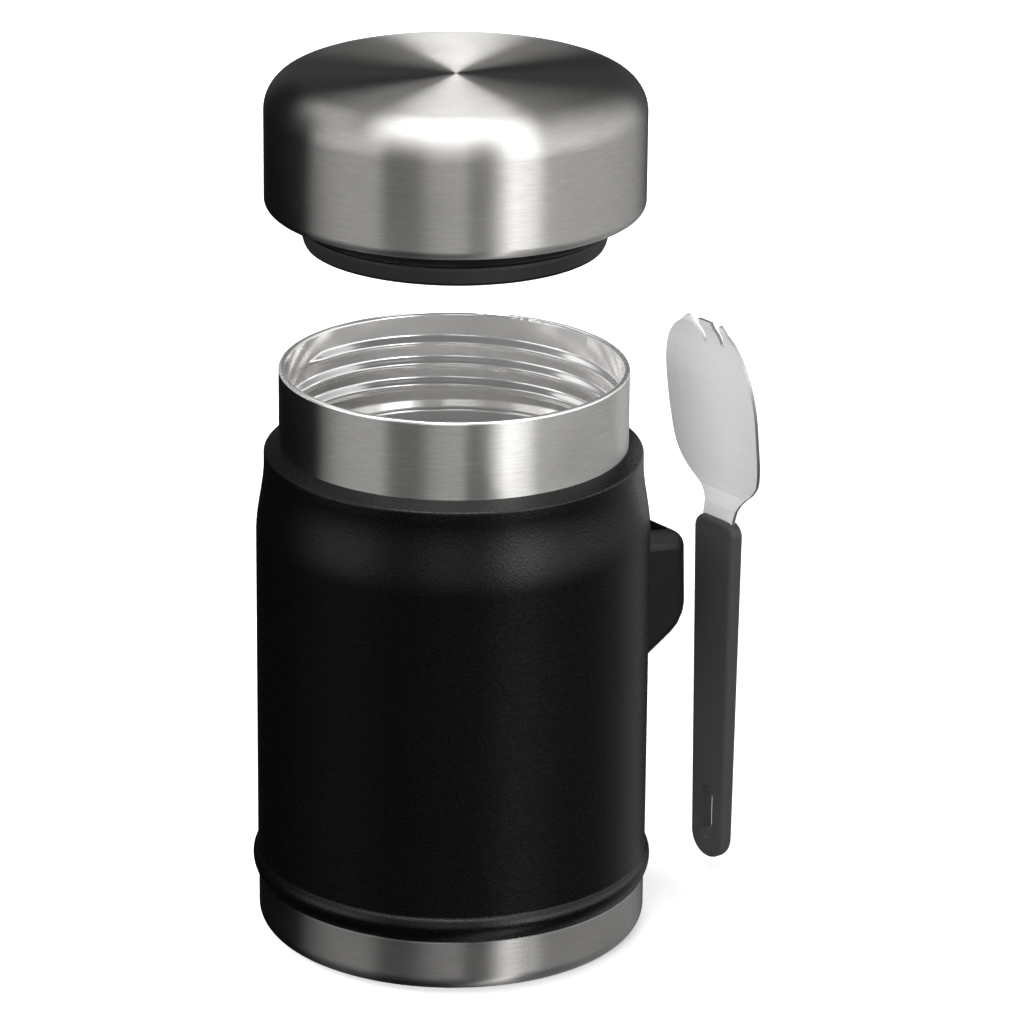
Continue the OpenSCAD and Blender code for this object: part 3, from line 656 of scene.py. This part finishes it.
# %% The wall's shades
DARK_TO, LIGHT_FROM = -0.2, 0.12     # the heights between which the low level passes into the high one
DIM_FROM, DIM_TO, DIM_LEVEL = 0.4, 0.9, 0.5
HALF_ROUND, WHOLE_ROUND = 180, 360
cards = [
    (-180, 0.01, 0.09), (-165, 0.01, 0.09), (-150, 0.005, 0.02), (-97, 0.005, 0.02),   # dark, behind on the left
    (-89, 0.01, 0.9), (-80, 0.01, 1.5), (-68, 0.01, 1.85), (-46, 0.01, 1.65),          # broad card on the left
    (-39, 0.01, 0.25), (-22, 0.01, 0.2),                                               # dark gap
    (-12, 0.01, 1.2), (6, 0.01, 1.5),                                                  # card by the camera
    (10, 0.01, 0.3), (21, 0.02, 0.3),                                                  # dark gap
    (28, 0.02, 1.9), (34, 0.02, 5.7), (47, 0.02, 5.7), (55, 0.02, 2.3),                # bright upright box
    (90, 0.06, 2.0), (112, 0.2, 1.5), (130, 0.35, 0.95),                               # broad card on the right
    (148, 0.3, 0.15), (165, 0.04, 0.09), (180, 0.01, 0.09)]                            # dark, behind on the right
way_round = spread(tree, angle, -math.pi, math.pi, 0, 1)
shades = []
for column in (1, 2):
    ramp = add(tree, "ShaderNodeValToRGB", {"Fac": way_round})
    for k in range(len(cards) - 2):
        ramp.color_ramp.elements.new(0.5)  # its place follows in the next loop
    for stop, row in zip(ramp.color_ramp.elements, cards):
        stop.position = (row[0] + HALF_ROUND) / WHOLE_ROUND
    for stop, row in zip(ramp.color_ramp.elements, cards):
        stop.color = grey(row[column])
    shades.append(ramp.outputs["Color"])
lit = spread(tree, height, DARK_TO, LIGHT_FROM, 0, 1)
dim = spread(tree, height, DIM_FROM, DIM_TO, 1, DIM_LEVEL)
above = add(tree, "ShaderNodeVectorMath", {0: shades[1], "Scale": dim}, operation="SCALE").outputs[0]
wall = blend(tree, lit, shades[0], above)
print("rows of cards:", len(cards))

# %% [markdown]
# ### Boxes on the wall
# Three boxes hang on the wall, over the cards. One stands below the table and gives the base its bright band.
# A dim one high at the left back keeps the lid's left edge grey. A wide one high in front lights the lower part
# of the lid's rounded edge.

# %% The wall's boxes
SOFT_EDGE, BOX_SOFT = 0.3, 0.07      # in metres up and down, in radians round
boxes = [  # from and to in degrees round, from and to in height, level
    (31, 46, -3.4, -1.3, 3.0),
    (-152, -97, 1.5, 3.4, 1.0),
    (-75, 15, 2.3, 3.4, 2.2)]
for turn_from, turn_to, low, high, level in boxes:
    inside = reckon("MULTIPLY", between(angle, math.radians(turn_from), math.radians(turn_to), BOX_SOFT),
                    between(height, low, high, SOFT_EDGE))
    wall = blend(tree, inside, wall, grey(level))
print("boxes on the wall:", len(boxes))

# %% [markdown]
# ### The roof
# The roof is almost dark. A bright strip lies over the back half, and brushed steel spreads it into the
# bow-tie on the lid. The strip is two boxes side by side, and the dark joint between them is the fine line
# through the bow-tie. A wide box over the front half lights the lid's rounded edge.

# %% The roof's strip and box
ROOF_LEVEL, STRIP_LEVEL, BOX_LEVEL = 0.24, 6.2, 6.4
STRIP_LEFT, STRIP_RIGHT, STRIP_BACK, STRIP_FRONT = -0.83, 0.71, -1.8, -0.6
BOX_BACK, BOX_FRONT = 0.2, 2.0
JOINT_AT, JOINT_HALF, JOINT_SOFT = 0.45, 0.035, 0.012
ROOF_FROM, ROOF_SOFT = CARD_HIGH - 0.002, 0.001
off_joint = reckon("ABSOLUTE", reckon("SUBTRACT", lateral, JOINT_AT))
two_boxes = reckon("MULTIPLY", between(lateral, STRIP_LEFT, STRIP_RIGHT, SOFT_EDGE),
                   step(off_joint, JOINT_HALF, JOINT_SOFT))
strip = reckon("MULTIPLY", two_boxes, between(nearer, STRIP_BACK, STRIP_FRONT, SOFT_EDGE))
box = between(nearer, BOX_BACK, BOX_FRONT, SOFT_EDGE)
roof = reckon("MAXIMUM", reckon("MULTIPLY", strip, STRIP_LEVEL / BRIGHTEST),
              reckon("MAXIMUM", reckon("MULTIPLY", box, BOX_LEVEL / BRIGHTEST), ROOF_LEVEL / BRIGHTEST))
paper = blend(tree, step(height, ROOF_FROM, ROOF_SOFT), wall, roof)
glow = add(tree, "ShaderNodeEmission", {"Color": paper, "Strength": BRIGHTEST})
add(tree, "ShaderNodeOutputMaterial", {"Surface": glow.outputs[0]})
dress(card_paper, drum)

# %% [markdown]
# ## Settings
# The Standard view shows a colour as it is written.

# %% Set the view
bpy.context.scene.view_settings.view_transform = "Standard"
